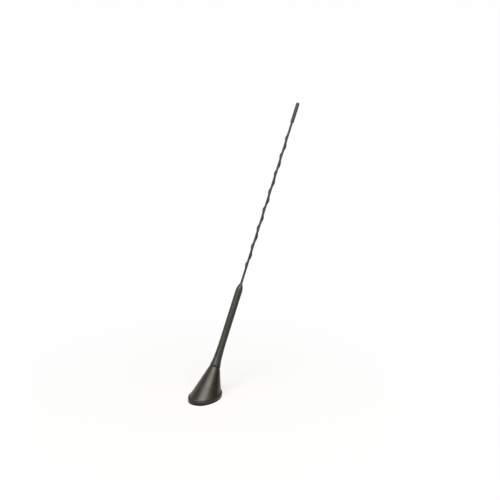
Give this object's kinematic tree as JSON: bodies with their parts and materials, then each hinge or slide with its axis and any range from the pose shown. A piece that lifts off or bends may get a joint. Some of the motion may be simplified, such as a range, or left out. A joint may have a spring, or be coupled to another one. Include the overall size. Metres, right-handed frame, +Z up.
{
  "type": "roof antenna",
  "caption": "Raked vehicle roof antenna: oval cone base on a gasket with an amplifier inside, and a screw-in whip mast with flared boot, spiral rib and rounded tip cap.",
  "frame": {"origin": "middle of the oval foot on the roof plane, under the roof bolt's hole", "axes": "+Z up from the roof, +X towards the rear, where the mast leans; the plane of symmetry is XZ"},
  "size_m": [0.2955, 0.0408, 0.3526],
  "materials": {
    "cover": "fine-grained satin moulding",
    "gasket": "matt rubber",
    "seal": "matt rubber",
    "boot": "satin rubber",
    "jacket": "satin moulding",
    "cap": "satin moulding",
    "casting": "zinc die casting",
    "steel": "plated steel",
    "ferrule": "turned, nickel plated",
    "brass": "turned brass",
    "spring": "spring bronze",
    "board": "glass-fibre circuit board",
    "chip": "moulded chip",
    "ferrite": "ferrite drum",
    "ceramic": "ceramic",
    "insulator": "white insulator"
  },
  "bodies": {
    "base": {"base_cover": "cover", "base_gasket": "gasket", "base_plate": "casting", "earth_washer": "steel", "cover_screws": "steel", "amplifier_board": "board", "board_screws": "steel", "amplifier_chip": "chip", "input_coil": "ferrite", "capacitors": "ceramic", "coax_shell": "brass", "coax_insulator": "insulator", "coax_pin": "brass", "mast_socket": "brass", "contact_spring": "spring"},
    "seal": {"mast_seal": "seal"},
    "mast": {"mast_boot": "boot", "mast_ferrule": "ferrule", "whip_rod": "steel", "whip_jacket": "jacket", "tip_cap": "cap"}
  },
  "joints": [
    {"name": "mast_lift", "type": "slide", "parent": "base", "child": "seal", "axis": [0.6018, 0, 0.7986], "range_m": [0, 0.00801]},
    {"name": "mast_turn", "type": "hinge", "parent": "seal", "child": "mast", "pos_m": [0.02552, 0, 0.03386], "axis": [0.6018, 0, 0.7986], "range_deg": [0, 3600]}
  ],
  "couplings": [
    {"joint": "mast_lift", "follows": "mast_turn", "m_per_rad": 0.00012732}
  ]
}
